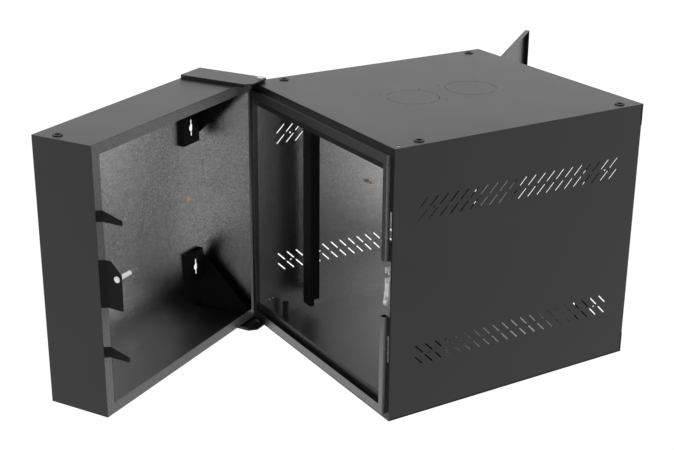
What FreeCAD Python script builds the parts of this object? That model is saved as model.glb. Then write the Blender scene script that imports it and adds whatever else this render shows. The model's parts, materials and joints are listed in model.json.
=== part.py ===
import FreeCAD, Part
import math
import os
import re
import Sketcher
from FreeCAD import Vector, Rotation, Placement

os.makedirs("parts", exist_ok=True)

# Swing-out wall cabinet for 19 inch equipment, 12 units high.
#
# Frame: the origin is the centre of the face that lies on the wall, +Z is up, -Y points
# away from the wall, and +X is the side that carries the hinges.
# The cabinet stands swung open from the wall section, and its front door stands open too.
# Pieces of the cabinet are drawn in a frame whose origin is the swing pivot at mid height,
# with the cabinet shut. Pieces of the door are drawn about the door's own pivot.

doc = FreeCAD.newDocument("wall_cabinet")

DIMS = [
    # name, value, what it is
    ("width", 600, "overall width"),
    ("height", 605, "overall height, 12 units and two trays"),
    ("cabinet_depth", 657, "depth of the swinging cabinet"),
    ("wall_depth", 151, "depth of the wall section"),
    ("sheet", 1.5, "sheet of casings"),
    ("wall_gap", 12, "gap between wall section and cabinet when shut"),
    ("rest_swing", 60, "swing angle as it stands"),
    ("rest_door", 130, "door angle as it stands"),
    ("pivot_inset", 14, "swing pivot from the hinge side"),
    ("pivot_setback", 17, "swing pivot from the rear face"),
    ("pivot_radius", 5, "pivot bolt shank"),
    ("pivot_play", 0.05, "running clearance of a pivot, on the radius"),
    ("pivot_length", 12, "bolt below the cover it turns in"),
    ("head_radius", 9, "pivot bolt head"),
    ("head_height", 5.5, "pivot bolt head"),
    ("head_edge", 2.5, "straight side of the pivot bolt head"),
    ("head_flat", 5, "flat top of the pivot bolt head, radius"),
    ("nut_height", 6, "pivot nut"),
    ("nut_circle", 8.6, "pivot nut over its corners, radius"),
    ("seat_gap", 0.3, "gap between faces that slide past each other"),
    ("lip", 24, "lip round the front of the wall section"),
    ("plate_width", 79, "hinge plate across"),
    ("plate_nose", 40, "hinge plate in front of the wall section"),
    ("plate_sheet", 3, "hinge plate thickness"),
    ("plate_stand", 5, "hinge plate above the cover"),
    ("plate_corner", 16, "hinge plate front corner"),
    ("plate_flange", 2, "hinge plate side flange thickness"),
    ("spacer_radius", 10, "spacer on the pivot bolt"),
    ("keyhole_side", 62, "keyhole from the side"),
    ("keyhole_z", 179, "keyhole from the middle"),
    ("keyhole_radius", 8.5, "keyhole round part"),
    ("keyhole_slot", 6, "keyhole slot width"),
    ("keyhole_reach", 20, "keyhole slot end from its centre"),
    ("bracket_width", 63, "keyhole bracket across"),
    ("bracket_height", 80, "keyhole bracket height"),
    ("bracket_rise", 10, "keyhole bracket off the back"),
    ("bracket_sheet", 2, "brackets, tabs and gussets"),
    ("window_width", 42, "opening in the back behind a keyhole"),
    ("window_height", 62, "opening in the back behind a keyhole"),
    ("gusset_inset", 23, "gusset from the side"),
    ("gusset_height", 142, "gusset up the back"),
    ("gusset_foot", 14, "gusset foot width"),
    ("tab_root", 41, "tab inside the wall section"),
    ("tab_reach", 60, "guide tab in front of the wall section"),
    ("tab_height", 24, "guide tab height"),
    ("tab_drop", 14, "slope at the tip of a guide tab"),
    ("tab_shift", 6.5, "joggle of tabs and latch bracket, sideways"),
    ("tab_step", 2, "straight before the joggle"),
    ("joggle_clear", 1, "joggle ends before the cabinet when shut"),
    ("tab_higher", 6, "lower guide tab above the lower end of its slot"),
    ("slot_middle", 137, "middle of a tab slot from mid height"),
    ("slot_height", 62, "tab slot"),
    ("slot_width", 8, "tab slot"),
    ("tab_clear", 1.5, "tab from the upper end of its slot"),
    ("latch_reach", 51, "latch bracket in front of the wall section"),
    ("latch_top", 59, "top of the latch bracket above mid height"),
    ("latch_bottom", -46.5, "bottom of the latch bracket"),
    ("latch_corner", 26, "sloped corner of the latch bracket"),
    ("striker_reach", 40, "striker pin in front of the wall section"),
    ("striker_z", 22.5, "striker pin above mid height"),
    ("striker_radius", 5, "striker pin"),
    ("striker_length", 40, "striker pin"),
    ("striker_head", 1.5, "striker pin head thickness"),
    ("striker_cap", 7, "striker pin head radius"),
    ("striker_hex", 8, "striker nut over its corners, radius"),
    ("striker_nut", 4, "striker nut thickness"),
    ("striker_play", 1, "striker in the latch slot, on the radius"),
    ("tray_rear", 52, "tray wall at the rear and the sides"),
    ("tray_front", 48.5, "tray wall at the front"),
    ("side_inset", 1.2, "side panel behind the tray edge"),
    ("rear_strip", 25, "rear return of a side panel"),
    ("front_strip", 14, "front return of a side panel"),
    ("rim_side", 12, "rear rim from the side"),
    ("rim_top", 14, "rear rim from the top"),
    ("rim_width", 20, "rear rim across, top and bottom"),
    ("rim_depth", 11, "rear rim stands out"),
    ("gate_above", 2.5, "latch gap in rim and strip, above the latch bracket"),
    ("gate_below", 16, "latch gap in rim and strip, below the latch bracket"),
    ("gate_margin", 6, "strip left outside the latch gap"),
    ("vent_start", 64, "first vent slot from the rear"),
    ("vent_count", 21, "vent slots in a row"),
    ("vent_pitch", 25.5, "vent slots along a row"),
    ("vent_run", 20, "vent slot, corner to corner along"),
    ("vent_rise", 20, "vent slot, corner to corner up"),
    ("vent_width", 3, "vent slot"),
    ("vent_rows", 26, "vent rows apart"),
    ("vent_middle", 164.5, "vent band from mid height"),
    ("fix_radius", 2.5, "fixing hole between the vent rows"),
    ("fix_first", 100.5, "first fixing hole from the rear"),
    ("fix_last", 560, "second fixing hole from the rear"),
    ("fan_radius", 59, "fan knock-out"),
    ("fan_cut", 1.2, "knock-out cut width"),
    ("fan_bridge", 7, "knock-out bridge width"),
    ("fan_offset", 80, "fan from mid depth"),
    ("fan_square", 52.5, "fan fixing hole from the fan's middle"),
    ("fan_hole", 2.2, "fan fixing hole"),
    ("plug_side", 24, "plug from the side"),
    ("plug_rear", 73, "rear plug from the rear face"),
    ("plug_front", 48.5, "front plug from the front face"),
    ("wall_plug", 48, "wall section plug from the wall"),
    ("plug_flange", 11, "plug flange radius"),
    ("plug_rise", 2, "plug flange height"),
    ("plug_barrel", 7.5, "plug barrel radius"),
    ("plug_bore", 6.3, "plug bore radius"),
    ("plug_length", 36, "plug barrel below the cover"),
    ("plug_floor", 2, "closed end of a plug"),
    ("rack_clear", 450.85, "clear width between rack rails"),
    ("rack_unit", 44.45, "rack unit"),
    ("rack_units", 12, "rack units held"),
    ("rack_low", 6.35, "first hole in a unit"),
    ("rack_step", 15.875, "holes in a unit apart"),
    ("rack_hole", 2.75, "rack hole radius"),
    ("rack_edge", 7.1, "rack hole from the rail's inner edge"),
    ("rail_flange", 35, "rail flange width"),
    ("rail_return", 10, "rail inner return"),
    ("rail_web", 45, "rail outer web"),
    ("rail_sheet", 2, "rail thickness"),
    ("rail_over", 5.6, "rail longer than its units"),
    ("rail_rear", 115, "rear rails from the rear face"),
    ("rail_front", 72, "front rails from the front face"),
    ("hanger_length", 24, "rail hanger along the depth"),
    ("stud_radius", 3, "ground stud"),
    ("stud_length", 18, "ground stud"),
    ("stud_collar", 6.5, "ground stud washer radius"),
    ("stud_nut", 5.2, "ground stud nut radius"),
    ("stud_side", 68, "wall section stud from the side"),
    ("stud_washer", 1.4, "ground stud washer thickness"),
    ("stud_nut_height", 4.6, "ground stud nut height"),
    ("stud_back", 327.7, "cabinet stud from the rear face"),
    ("housing_rear", 2.5, "latch housing from the rear face"),
    ("housing_depth", 56, "latch housing along the depth"),
    ("housing_top", 40.5, "latch housing above mid height"),
    ("housing_bottom", -28.5, "latch housing below mid height"),
    ("housing_side", 16, "latch housing from the latch side"),
    ("housing_width", 14, "latch housing across"),
    ("housing_sheet", 2, "latch housing thickness"),
    ("housing_foot", 22, "latch housing foot"),
    ("claw_back", 30, "claw pivot from the rear face"),
    ("claw_z", 2.5, "claw pivot above mid height"),
    ("claw_radius", 26, "claw outside"),
    ("claw_hub", 14.3, "claw hub"),
    ("claw_first", 100.8, "claw begins at this angle"),
    ("claw_last", 8, "claw ends at this angle"),
    ("claw_side", 1, "claw from the housing plates"),
    ("claw_pin", 4, "claw pin radius"),
    ("pawl_back", 10, "pawl pivot from the rear face"),
    ("pawl_z", -22, "pawl pivot"),
    ("pawl_hub", 4.4, "pawl hub radius"),
    ("pawl_pin", 2.5, "pawl shaft radius"),
    ("pawl_finger", 12.5, "pawl finger above its pivot"),
    ("pawl_lean", 2.4, "pawl finger leans past its hub"),
    ("pawl_tip", 3, "pawl finger tip across"),
    ("pawl_root", 2, "pawl finger root inside the hub"),
    ("lever_sheet", 2, "release lever thickness"),
    ("lever_gap", 2, "release lever from the housing"),
    ("lever_width", 5.5, "release lever half width"),
    ("roller_back", 7, "release roller from the rear face"),
    ("roller_z", -39.5, "release roller"),
    ("roller_radius", 6, "release roller"),
    ("roller_length", 8, "release roller"),
    ("pin_over", 1.5, "latch pins past the outer plate"),
    ("spring_radius", 2.2, "latch spring outside radius"),
    ("spring_side", 7, "latch spring from the housing"),
    ("door_gap", 1.5, "gap round the door"),
    ("door_deep", 13, "door edge depth"),
    ("door_sheet", 1.2, "door sheet"),
    ("door_proud", 1, "door in front of the frame"),
    ("door_pivot_side", 56, "door pivot from the hinge side"),
    ("door_pivot_back", 7, "door pivot from the front face"),
    ("door_pin", 3, "door pin radius"),
    ("door_pin_up", 9, "door pin above the door"),
    ("door_pin_in", 14, "door pin inside the door"),
    ("lug_width", 34, "door lug across"),
    ("lug_height", 20, "door lug height"),
    ("lug_depth", 17, "door lug along the depth"),
    ("lock_side", 24, "lock from the door's free edge"),
    ("lock_flange", 13, "lock flange radius"),
    ("lock_rise", 2.5, "lock flange height"),
    ("lock_barrel", 9, "lock barrel radius"),
    ("lock_plug", 6, "lock plug radius"),
    ("lock_length", 17, "lock barrel behind the door"),
    ("lock_nut", 3, "lock nut thickness"),
    ("lock_hex", 13, "lock nut over its corners, radius"),
    ("cam_length", 33, "cam from the lock's middle"),
    ("cam_width", 12, "cam width"),
    ("cam_sheet", 2, "cam thickness"),
    ("cam_crank", 9, "cam crank forwards"),
]

sheet = doc.addObject("Spreadsheet::Sheet", "Dims")
for row, (name, value, note) in enumerate(DIMS, start=1):
    sheet.set("A%d" % row, name)
    sheet.set("B%d" % row, str(value))
    sheet.set("C%d" % row, note)
    sheet.setAlias("B%d" % row, name)
doc.recompute()

NAMES = {name for name, value, note in DIMS}


def bind(text):
    """The text with every size name pointing at its cell."""
    return re.sub(r"[a-z_]+", lambda m: "Dims." + m.group(0) if m.group(0) in NAMES else m.group(0), text)


def num(text):
    """The value that the text has now."""
    return float(sheet.evalExpression(bind(text)))


def rule(obj, prop, text):
    obj.setExpression(prop, bind(text))


# ---------------------------------------------------------------- frames

def u(text):
    """Across the cabinet from its hinge side."""
    return "(pivot_inset - (%s))" % text


def v(text):
    """Along the cabinet from its rear face."""
    return "(pivot_setback - (%s))" % text


def du(text):
    """Across the cabinet from its hinge side, in the door's frame."""
    return "(door_pivot_side - (%s))" % text


def dv(text):
    """Along the cabinet from its rear face, in the door's frame."""
    return "(cabinet_depth - door_pivot_back - (%s))" % text


PIVOT_X = "(width / 2 - pivot_inset)"
PIVOT_Y = "(-wall_depth - wall_gap - pivot_setback)"
DOOR_DX = "(pivot_inset - door_pivot_side)"
DOOR_DY = "(pivot_setback - cabinet_depth + door_pivot_back)"


def turn(obj, x, y, angle):
    obj.Placement = Placement(Vector(0, 0, 0), Rotation(Vector(0, 0, 1), 30))
    rule(obj, "Placement.Base.x", x)
    rule(obj, "Placement.Base.y", y)
    rule(obj, "Placement.Rotation.Angle", angle)


def on_cabinet(obj):
    turn(obj, PIVOT_X, PIVOT_Y, "rest_swing")


def on_door(obj):
    x = "%s + cos(rest_swing) * %s - sin(rest_swing) * %s" % (PIVOT_X, DOOR_DX, DOOR_DY)
    y = "%s + sin(rest_swing) * %s + cos(rest_swing) * %s" % (PIVOT_Y, DOOR_DX, DOOR_DY)
    turn(obj, x, y, "rest_swing + rest_door")


PIECES = []


def keep(obj, label, place=None):
    obj.Label = label
    if place:
        place(obj)
    PIECES.append(obj)
    return obj


# ---------------------------------------------------------------- sketches and features

# Sides of the round forms that repeat often, so that the whole part stays light.
SMALL_HOLE = 6
PLUG_SIDES = 12
RING_SIDES = 24


def body(name):
    return doc.addObject("PartDesign::Body", name)


def sketch(part, plane, offset="0"):
    sk = part.newObject("Sketcher::SketchObject", part.Name + "_sketch")
    for feature in part.Origin.OriginFeatures:
        if feature.Role == plane + "_Plane":
            sk.AttachmentSupport = (feature, [""])
    sk.MapMode = "FlatFace"
    if offset != "0":
        rule(sk, "AttachmentOffset.Base.z", offset)
    return sk


def hold(sk, geometry, point, x, y):
    """Ties a point of the sketch to its two distances from the sketch's origin."""
    if x == "0":
        sk.addConstraint(Sketcher.Constraint("PointOnObject", geometry, point, -2))
    else:
        c = sk.addConstraint(Sketcher.Constraint("DistanceX", -1, 1, geometry, point, num(x)))
        rule(sk, "Constraints[%d]" % c, x)
    if y == "0":
        sk.addConstraint(Sketcher.Constraint("PointOnObject", geometry, point, -1))
    else:
        c = sk.addConstraint(Sketcher.Constraint("DistanceY", -1, 1, geometry, point, num(y)))
        rule(sk, "Constraints[%d]" % c, y)


def outline(sk, points):
    """A closed outline through points given as pairs of texts."""
    spots = [Vector(num(x), num(y), 0) for x, y in points]
    count = len(spots)
    first = sk.GeometryCount
    for i in range(count):
        sk.addGeometry(Part.LineSegment(spots[i], spots[(i + 1) % count]))
    for i in range(count):
        sk.addConstraint(Sketcher.Constraint("Coincident", first + i, 2, first + (i + 1) % count, 1))
    for i, (x, y) in enumerate(points):
        hold(sk, first + i, 1, x, y)


def rect(sk, x0, y0, x1, y1):
    outline(sk, [(x0, y0), (x1, y0), (x1, y1), (x0, y1)])


def circle(sk, x, y, radius):
    g = sk.addGeometry(Part.Circle(Vector(num(x), num(y), 0), Vector(0, 0, 1), num(radius)))
    hold(sk, g, 3, x, y)
    c = sk.addConstraint(Sketcher.Constraint("Radius", g, num(radius)))
    rule(sk, "Constraints[%d]" % c, radius)


def facets(sk, x, y, radius, corners=SMALL_HOLE):
    """A round hole drawn with few sides, with its corners on the circle."""
    angles = [360 * i / corners for i in range(corners)]
    outline(sk, [("%s + (%s) * cos(%g)" % (x, radius, a), "%s + (%s) * sin(%g)" % (y, radius, a)) for a in angles])


def pad(part, sk, length, back=False, both=False):
    f = part.newObject("PartDesign::Pad", part.Name + "_pad")
    f.Profile = sk
    rule(f, "Length", length)
    f.Reversed = back
    f.Midplane = both
    doc.recompute()
    return f


def pocket(part, sk, length, back=False, both=False):
    before = part.Shape.Volume
    f = part.newObject("PartDesign::Pocket", part.Name + "_pocket")
    f.Profile = sk
    rule(f, "Length", length)
    f.Reversed = back
    f.Midplane = both
    doc.recompute()
    if not part.Shape.Volume < before - 1e-6:
        raise RuntimeError("a pocket in %s cuts nothing" % part.Name)
    return f


def row_of(part, feature, sk, axis, pitch, count):
    """Copies a feature along an axis of its sketch."""
    f = part.newObject("PartDesign::LinearPattern", part.Name + "_pattern")
    f.Originals = [feature]
    f.Direction = (sk, [axis])
    f.Length = num(pitch) * (num(count) - 1)
    rule(f, "Length", "(%s) * (%s - 1)" % (pitch, count))
    rule(f, "Occurrences", count)
    part.Tip = f
    doc.recompute()
    return f


# ---------------------------------------------------------------- primitives

AXES = {"x": Rotation(Vector(0, 1, 0), 90), "y": Rotation(Vector(1, 0, 0), -90), "z": Rotation()}


def place_at(obj, x, y, z, axis="z"):
    obj.Placement = Placement(Vector(0, 0, 0), AXES[axis])
    rule(obj, "Placement.Base.x", x)
    rule(obj, "Placement.Base.y", y)
    rule(obj, "Placement.Base.z", z)
    return obj


def cyl(name, radius, length, x, y, z, axis="z"):
    obj = doc.addObject("Part::Cylinder", name)
    rule(obj, "Radius", radius)
    rule(obj, "Height", length)
    return place_at(obj, x, y, z, axis)


def prism(name, corners, circle_radius, length, x, y, z, axis="z"):
    obj = doc.addObject("Part::Prism", name)
    obj.Polygon = corners
    rule(obj, "Circumradius", circle_radius)
    rule(obj, "Height", length)
    return place_at(obj, x, y, z, axis)


def fuse(name, shapes):
    obj = doc.addObject("Part::MultiFuse", name)
    obj.Shapes = shapes
    return obj


def cut(name, base, tool):
    obj = doc.addObject("Part::Cut", name)
    obj.Base = base
    obj.Tool = tool
    return obj


def group(name, shapes):
    obj = doc.addObject("Part::Compound", name)
    obj.Links = shapes
    return obj


def pin_in_cabinet(obj, name):
    """Lets a primitive drawn in the cabinet's frame ride on the cabinet's placement."""
    return group(name, [obj])


ENDS = (("upper", "top", 1), ("lower", "bottom", -1))
KEYHOLE_X = "(width / 2 - keyhole_side)"
SIDES = (("right", 1), ("left", -1))

# ---------------------------------------------------------------- wall section: casing

# Back and sides are one sheet, with lips turned in at the front.
shell = body("wall_box_shell")
sk = sketch(shell, "XY", "-height / 2 + sheet")
outline(sk, [
    ("-width / 2", "0"), ("width / 2", "0"),
    ("width / 2", "-wall_depth"), ("width / 2 - lip", "-wall_depth"),
    ("width / 2 - lip", "-wall_depth + sheet"), ("width / 2 - sheet", "-wall_depth + sheet"),
    ("width / 2 - sheet", "-sheet"), ("-width / 2 + sheet", "-sheet"),
    ("-width / 2 + sheet", "-wall_depth + sheet"), ("-width / 2 + lip", "-wall_depth + sheet"),
    ("-width / 2 + lip", "-wall_depth"), ("-width / 2", "-wall_depth"),
])
pad(shell, sk, "height - 2 * sheet")
# Openings behind the keyholes, so that a wall screw's head goes in.
sk = sketch(shell, "XZ")
for sx in (1, -1):
    for sz in (1, -1):
        rect(sk, "%d * %s - window_width / 2" % (sx, KEYHOLE_X), "%d * keyhole_z - window_height / 2" % sz,
             "%d * %s + window_width / 2" % (sx, KEYHOLE_X), "%d * keyhole_z + window_height / 2" % sz)
pocket(shell, sk, "4 * sheet", both=True)
# Notches in the left lip, where the tabs and the latch bracket come through.
UPPER_TAB = ("slot_middle + slot_height / 2 - tab_clear - tab_height", "slot_middle + slot_height / 2 - tab_clear")
LOWER_TAB = ("-slot_middle - slot_height / 2 + tab_clear + tab_higher",
             "-slot_middle - slot_height / 2 + tab_clear + tab_higher + tab_height")
LATCH_BAR = ("latch_bottom", "latch_top")
GATE_TOP = "latch_top + gate_above"
GATE_BOTTOM = "latch_bottom - gate_below"
sk = sketch(shell, "XZ", "wall_depth - 2 * sheet")
for low, high in (UPPER_TAB, LOWER_TAB, LATCH_BAR):
    rect(sk, "-width / 2 + sheet", "%s - seat_gap" % low,
         "-width / 2 + sheet + bracket_sheet + seat_gap", "%s + seat_gap" % high)
pocket(shell, sk, "4 * sheet", both=True)
keep(shell, "wall_box_shell")

for end, cover, s in ENDS:
    part = body("wall_box_" + cover)
    sk = sketch(part, "YZ", "-width / 2")
    rect(sk, "0", "%d * height / 2" % s, "-wall_depth", "%d * (height / 2 - sheet)" % s)
    pad(part, sk, "width")
    sk = sketch(part, "YZ", "-width / 2 + lip")
    rect(sk, "-wall_depth", "%d * (height / 2 - sheet)" % s, "-wall_depth + sheet", "%d * (height / 2 - lip)" % s)
    pad(part, sk, "width - 2 * lip")
    sk = sketch(part, "XY", "%d * height / 2" % s)
    facets(sk, "-(width / 2 - plug_side)", "-wall_plug", "plug_barrel", PLUG_SIDES)
    pocket(part, sk, "4 * sheet", both=True)
    keep(part, "wall_box_" + cover)

# ---------------------------------------------------------------- wall section: hinges

for end, cover, s in ENDS:
    part = body(end + "_hinge_plate")
    side = "width / 2"
    inner = "width / 2 - plate_width"
    nose = "-wall_depth - plate_nose"
    sk = sketch(part, "XY", "%d * (height / 2 + plate_stand)" % s)
    outline(sk, [
        (inner, "0"), (side, "0"), (side, "%s + plate_corner / 2" % nose),
        ("%s - plate_corner / 2" % side, nose), ("%s + plate_corner" % inner, nose),
        (inner, "%s + plate_corner" % nose),
    ])
    pad(part, sk, "plate_sheet", back=(s < 0))
    sk = sketch(part, "XY", "%d * height / 2" % s)
    rect(sk, inner, "0", "%s + plate_flange" % inner, "-wall_depth")
    rect(sk, "%s - plate_flange" % side, "0", side, "-wall_depth")
    pad(part, sk, "plate_stand", back=(s < 0))
    sk = sketch(part, "XY", "%d * (height / 2 + 2 * seat_gap)" % s)
    rect(sk, inner, "-wall_depth", "%s + plate_flange" % inner, "%s + plate_corner" % nose)
    rect(sk, "%s - plate_flange" % side, "-wall_depth", side, "%s + plate_corner / 2" % nose)
    pad(part, sk, "plate_stand - 2 * seat_gap", back=(s < 0))
    sk = sketch(part, "XY", "%d * (height / 2 + plate_stand)" % s)
    circle(sk, PIVOT_X, PIVOT_Y, "pivot_radius + pivot_play")
    pocket(part, sk, "4 * plate_sheet", both=True)
    keep(part, end + "_hinge_plate")

# Pivot bolts: a tapered head outside, the shank in the cabinet's hole, a nut inside.
bolts = []
for end, cover, s in ENDS:
    part = body(end + "_pivot_bolt")
    sk = sketch(part, "XZ")
    top = "height / 2 + plate_stand + plate_sheet"
    z0 = "%d * (%s)" % (s, top)
    z1 = "%d * (%s + head_height)" % (s, top)
    z2 = "%d * (height / 2 - pivot_length)" % s
    z3 = "%d * (%s + head_edge)" % (s, top)
    outline(sk, [
        ("0", z2), ("pivot_radius", z2), ("pivot_radius", z0), ("head_radius", z0), ("head_radius", z3),
        ("head_flat", z1), ("0", z1),
    ])
    spin = part.newObject("PartDesign::Revolution", part.Name + "_turned")
    spin.Profile = sk
    spin.ReferenceAxis = (sk, ["V_Axis"])
    spin.Angle = 360
    doc.recompute()
    rule(part, "Placement.Base.x", PIVOT_X)
    rule(part, "Placement.Base.y", PIVOT_Y)
    bolts.append(part)
keep(group("pivot_bolt_pair", bolts), "pivot_bolts")

# A many-sided bore whose flats just clear the bolt.
ROUND_BOLT = "(pivot_radius + pivot_play) / cos(180 / %d)" % PLUG_SIDES
spacers = []
nuts = []
for end, cover, s in ENDS:
    lower = "height / 2 + seat_gap" if s > 0 else "-height / 2 - plate_stand"
    ring = prism(end + "_spacer", PLUG_SIDES, "spacer_radius", "plate_stand - seat_gap", PIVOT_X, PIVOT_Y, lower)
    hole = prism(end + "_spacer_hole", PLUG_SIDES, ROUND_BOLT, "plate_stand - seat_gap", PIVOT_X, PIVOT_Y, lower)
    spacers.append(cut(end + "_spacer_ring", ring, hole))
    low = "height / 2 - sheet - 2 * seat_gap - nut_height" if s > 0 else "-height / 2 + sheet + 2 * seat_gap"
    nut = prism(end + "_nut", 6, "nut_circle", "nut_height", PIVOT_X, PIVOT_Y, low)
    hole = prism(end + "_nut_hole", PLUG_SIDES, ROUND_BOLT, "nut_height", PIVOT_X, PIVOT_Y, low)
    nuts.append(cut(end + "_nut_ring", nut, hole))
keep(group("pivot_spacer_pair", spacers), "pivot_spacers")
keep(group("pivot_nut_pair", nuts), "pivot_nuts")

# ---------------------------------------------------------------- wall section: brackets

for end, cover, sz in ENDS:
    for side, sx in SIDES:
        # A hat bracket over the back, with a keyhole open both ways.
        part = body("%s_%s_mount_bracket" % (end, side))
        mid = "%d * %s" % (sx, KEYHOLE_X)
        sk = sketch(part, "XY", "%d * keyhole_z - bracket_height / 2" % sz)
        low = "-sheet"
        high = "-sheet - bracket_rise - bracket_sheet"
        outline(sk, [
            ("%s - bracket_width / 2" % mid, low), ("%s - bracket_width / 2 + bracket_sheet" % mid, low),
            ("%s - bracket_width / 2 + bracket_sheet" % mid, "%s + bracket_sheet" % high),
            ("%s + bracket_width / 2 - bracket_sheet" % mid, "%s + bracket_sheet" % high),
            ("%s + bracket_width / 2 - bracket_sheet" % mid, low), ("%s + bracket_width / 2" % mid, low),
            ("%s + bracket_width / 2" % mid, high), ("%s - bracket_width / 2" % mid, high),
        ])
        pad(part, sk, "bracket_height")
        sk = sketch(part, "XZ", "sheet + bracket_rise")
        circle(sk, mid, "%d * keyhole_z" % sz, "keyhole_radius")
        pocket(part, sk, "4 * bracket_sheet", both=True)
        sk = sketch(part, "XZ", "sheet + bracket_rise")
        rect(sk, "%s - keyhole_slot / 2" % mid, "%d * keyhole_z - keyhole_reach" % sz,
             "%s + keyhole_slot / 2" % mid, "%d * keyhole_z + keyhole_reach" % sz)
        pocket(part, sk, "4 * bracket_sheet", both=True)
        keep(part, "%s_%s_mount_bracket" % (end, side))

        if side == "left":
            continue
        # A triangular gusset between the back and the cover, on the side that carries the hinges.
        part = body("%s_%s_gusset" % (end, side))
        face = "%d * (width / 2 - gusset_inset)" % sx
        sk = sketch(part, "YZ", face)
        wall = "%d * (height / 2 - sheet)" % sz
        outline(sk, [
            ("-sheet", wall), ("-wall_depth + 2 * sheet", wall),
            ("-wall_depth + 2 * sheet", "%d * (height / 2 - sheet - lip / 3)" % sz),
            ("-sheet - bracket_rise", "%d * (height / 2 - sheet - gusset_height)" % sz),
            ("-sheet", "%d * (height / 2 - sheet - gusset_height)" % sz),
        ])
        pad(part, sk, "bracket_sheet", back=(sx > 0))
        sk = sketch(part, "XY", wall)
        rect(sk, face, "-sheet", "%d * (width / 2 - gusset_inset - gusset_foot)" % sx, "-wall_depth + 2 * sheet")
        pad(part, sk, "bracket_sheet", back=(sz > 0))
        keep(part, "%s_%s_gusset" % (end, side))

TAB_OUT = "-width / 2 + sheet"
TAB_IN = "-width / 2 + sheet + tab_shift"
TAB_STRAIGHT = "-wall_depth - wall_gap + joggle_clear"


def joggled(part, low, high, reach):
    """A strip from inside the side sheet, set over and then straight ahead."""
    sk = sketch(part, "XY", low)
    a = "-wall_depth - tab_step"
    b = TAB_STRAIGHT
    tip = "-wall_depth - %s" % reach
    outline(sk, [
        (TAB_OUT, "-wall_depth + tab_root"), (TAB_OUT, a), (TAB_IN, b), (TAB_IN, tip),
        ("%s + bracket_sheet" % TAB_IN, tip), ("%s + bracket_sheet" % TAB_IN, b),
        ("%s + bracket_sheet" % TAB_OUT, a), ("%s + bracket_sheet" % TAB_OUT, "-wall_depth + tab_root"),
    ])
    pad(part, sk, "(%s) - (%s)" % (high, low))


for end, (low, high) in (("upper", UPPER_TAB), ("lower", LOWER_TAB)):
    part = body(end + "_guide_tab")
    joggled(part, low, high, "tab_reach")
    sk = sketch(part, "YZ", "-width / 2 + sheet - 1")
    outline(sk, [
        (TAB_STRAIGHT, "%s + 1" % high), ("-wall_depth - tab_reach - 1", "%s + 1" % high),
        ("-wall_depth - tab_reach - 1", "%s - tab_drop" % high), ("-wall_depth - tab_reach", "%s - tab_drop" % high),
        (TAB_STRAIGHT, high),
    ])
    pocket(part, sk, "tab_shift + bracket_sheet + 2", back=True)
    keep(part, end + "_guide_tab")

part = body("latch_bracket")
joggled(part, "latch_bottom", "latch_top", "latch_reach")
sk = sketch(part, "YZ", "-width / 2 + sheet - 1")
outline(sk, [
    ("-wall_depth - latch_reach + latch_corner", "latch_top + 1"), ("-wall_depth - latch_reach - 1", "latch_top + 1"),
    ("-wall_depth - latch_reach - 1", "latch_top - latch_corner"),
    ("-wall_depth - latch_reach", "latch_top - latch_corner"),
    ("-wall_depth - latch_reach + latch_corner", "latch_top"),
])
pocket(part, sk, "tab_shift + bracket_sheet + 2", back=True)
sk = sketch(part, "YZ", TAB_IN)
circle(sk, "-wall_depth - striker_reach", "striker_z", "striker_radius + pivot_play")
pocket(part, sk, "4 * bracket_sheet", both=True)
keep(part, "latch_bracket")

STRIKER_Y = "-wall_depth - striker_reach"
shank = cyl("striker_shank", "striker_radius", "striker_length + bracket_sheet", TAB_IN, STRIKER_Y, "striker_z", "x")
head = prism("striker_cap_disc", PLUG_SIDES, "striker_cap", "striker_head",
             "%s - striker_head" % TAB_IN, STRIKER_Y, "striker_z", "x")
keep(fuse("striker_bolt", [shank, head]), "striker_pin")
nut = prism("striker_nut_body", 6, "striker_hex", "striker_nut",
            "%s + bracket_sheet" % TAB_IN, STRIKER_Y, "striker_z", "x")
hole = prism("striker_nut_hole", PLUG_SIDES, "(striker_radius + pivot_play) / cos(180 / %d)" % PLUG_SIDES,
             "striker_nut", "%s + bracket_sheet" % TAB_IN, STRIKER_Y, "striker_z", "x")
keep(cut("striker_nut_ring", nut, hole), "striker_nut")

# ---------------------------------------------------------------- studs and plugs


def stud(name, x, y, z, axis, way):
    """Ground stud with its washer and nut. It stands on a face and points along the axis."""
    turned = []
    stack = "(stud_washer + stud_nut_height)"
    for tag, corners, radius, start, length in (
            ("washer", PLUG_SIDES, "stud_collar", "0", "stud_washer"),
            ("nut", 6, "stud_nut", "stud_washer", "stud_nut_height"),
            ("screw", PLUG_SIDES, "stud_radius", stack, "stud_length - %s" % stack)):
        at = [x, y, z]
        i = "xyz".index(axis)
        if way > 0:
            at[i] = "%s + %s" % (at[i], start)
        else:
            at[i] = "%s - %s - (%s)" % (at[i], start, length)
        turned.append(prism(name + "_" + tag, corners, radius, length, at[0], at[1], at[2], axis))
    return fuse(name + "_turned", turned)


keep(stud("wall_ground", "width / 2 - stud_side", "-sheet", "0", "y", -1), "wall_ground_stud")
keep(stud("cabinet_ground", u("side_inset + sheet"), v("stud_back"), "0", "x", -1), "cabinet_ground_stud", on_cabinet)


def plugs(name, spots):
    """Hollow plugs whose flanges lie on the covers."""
    made = []
    for i, (x, y, s) in enumerate(spots):
        tag = "%s_%d" % (name, i + 1)
        if s > 0:
            rim, foot, hollow = "height / 2", "height / 2 - plug_length", "height / 2 - plug_length + plug_floor"
        else:
            rim, foot, hollow = "-height / 2 - plug_rise", "-height / 2", "-height / 2 - plug_rise"
        flange = prism(tag + "_flange", PLUG_SIDES, "plug_flange", "plug_rise", x, y, rim)
        barrel = prism(tag + "_barrel", PLUG_SIDES, "plug_barrel", "plug_length", x, y, foot)
        bore = prism(tag + "_bore", PLUG_SIDES, "plug_bore", "plug_length + plug_rise - plug_floor", x, y, hollow)
        made.append(cut(tag, fuse(tag + "_solid", [flange, barrel]), bore))
    return group(name + "_set", made)


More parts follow.
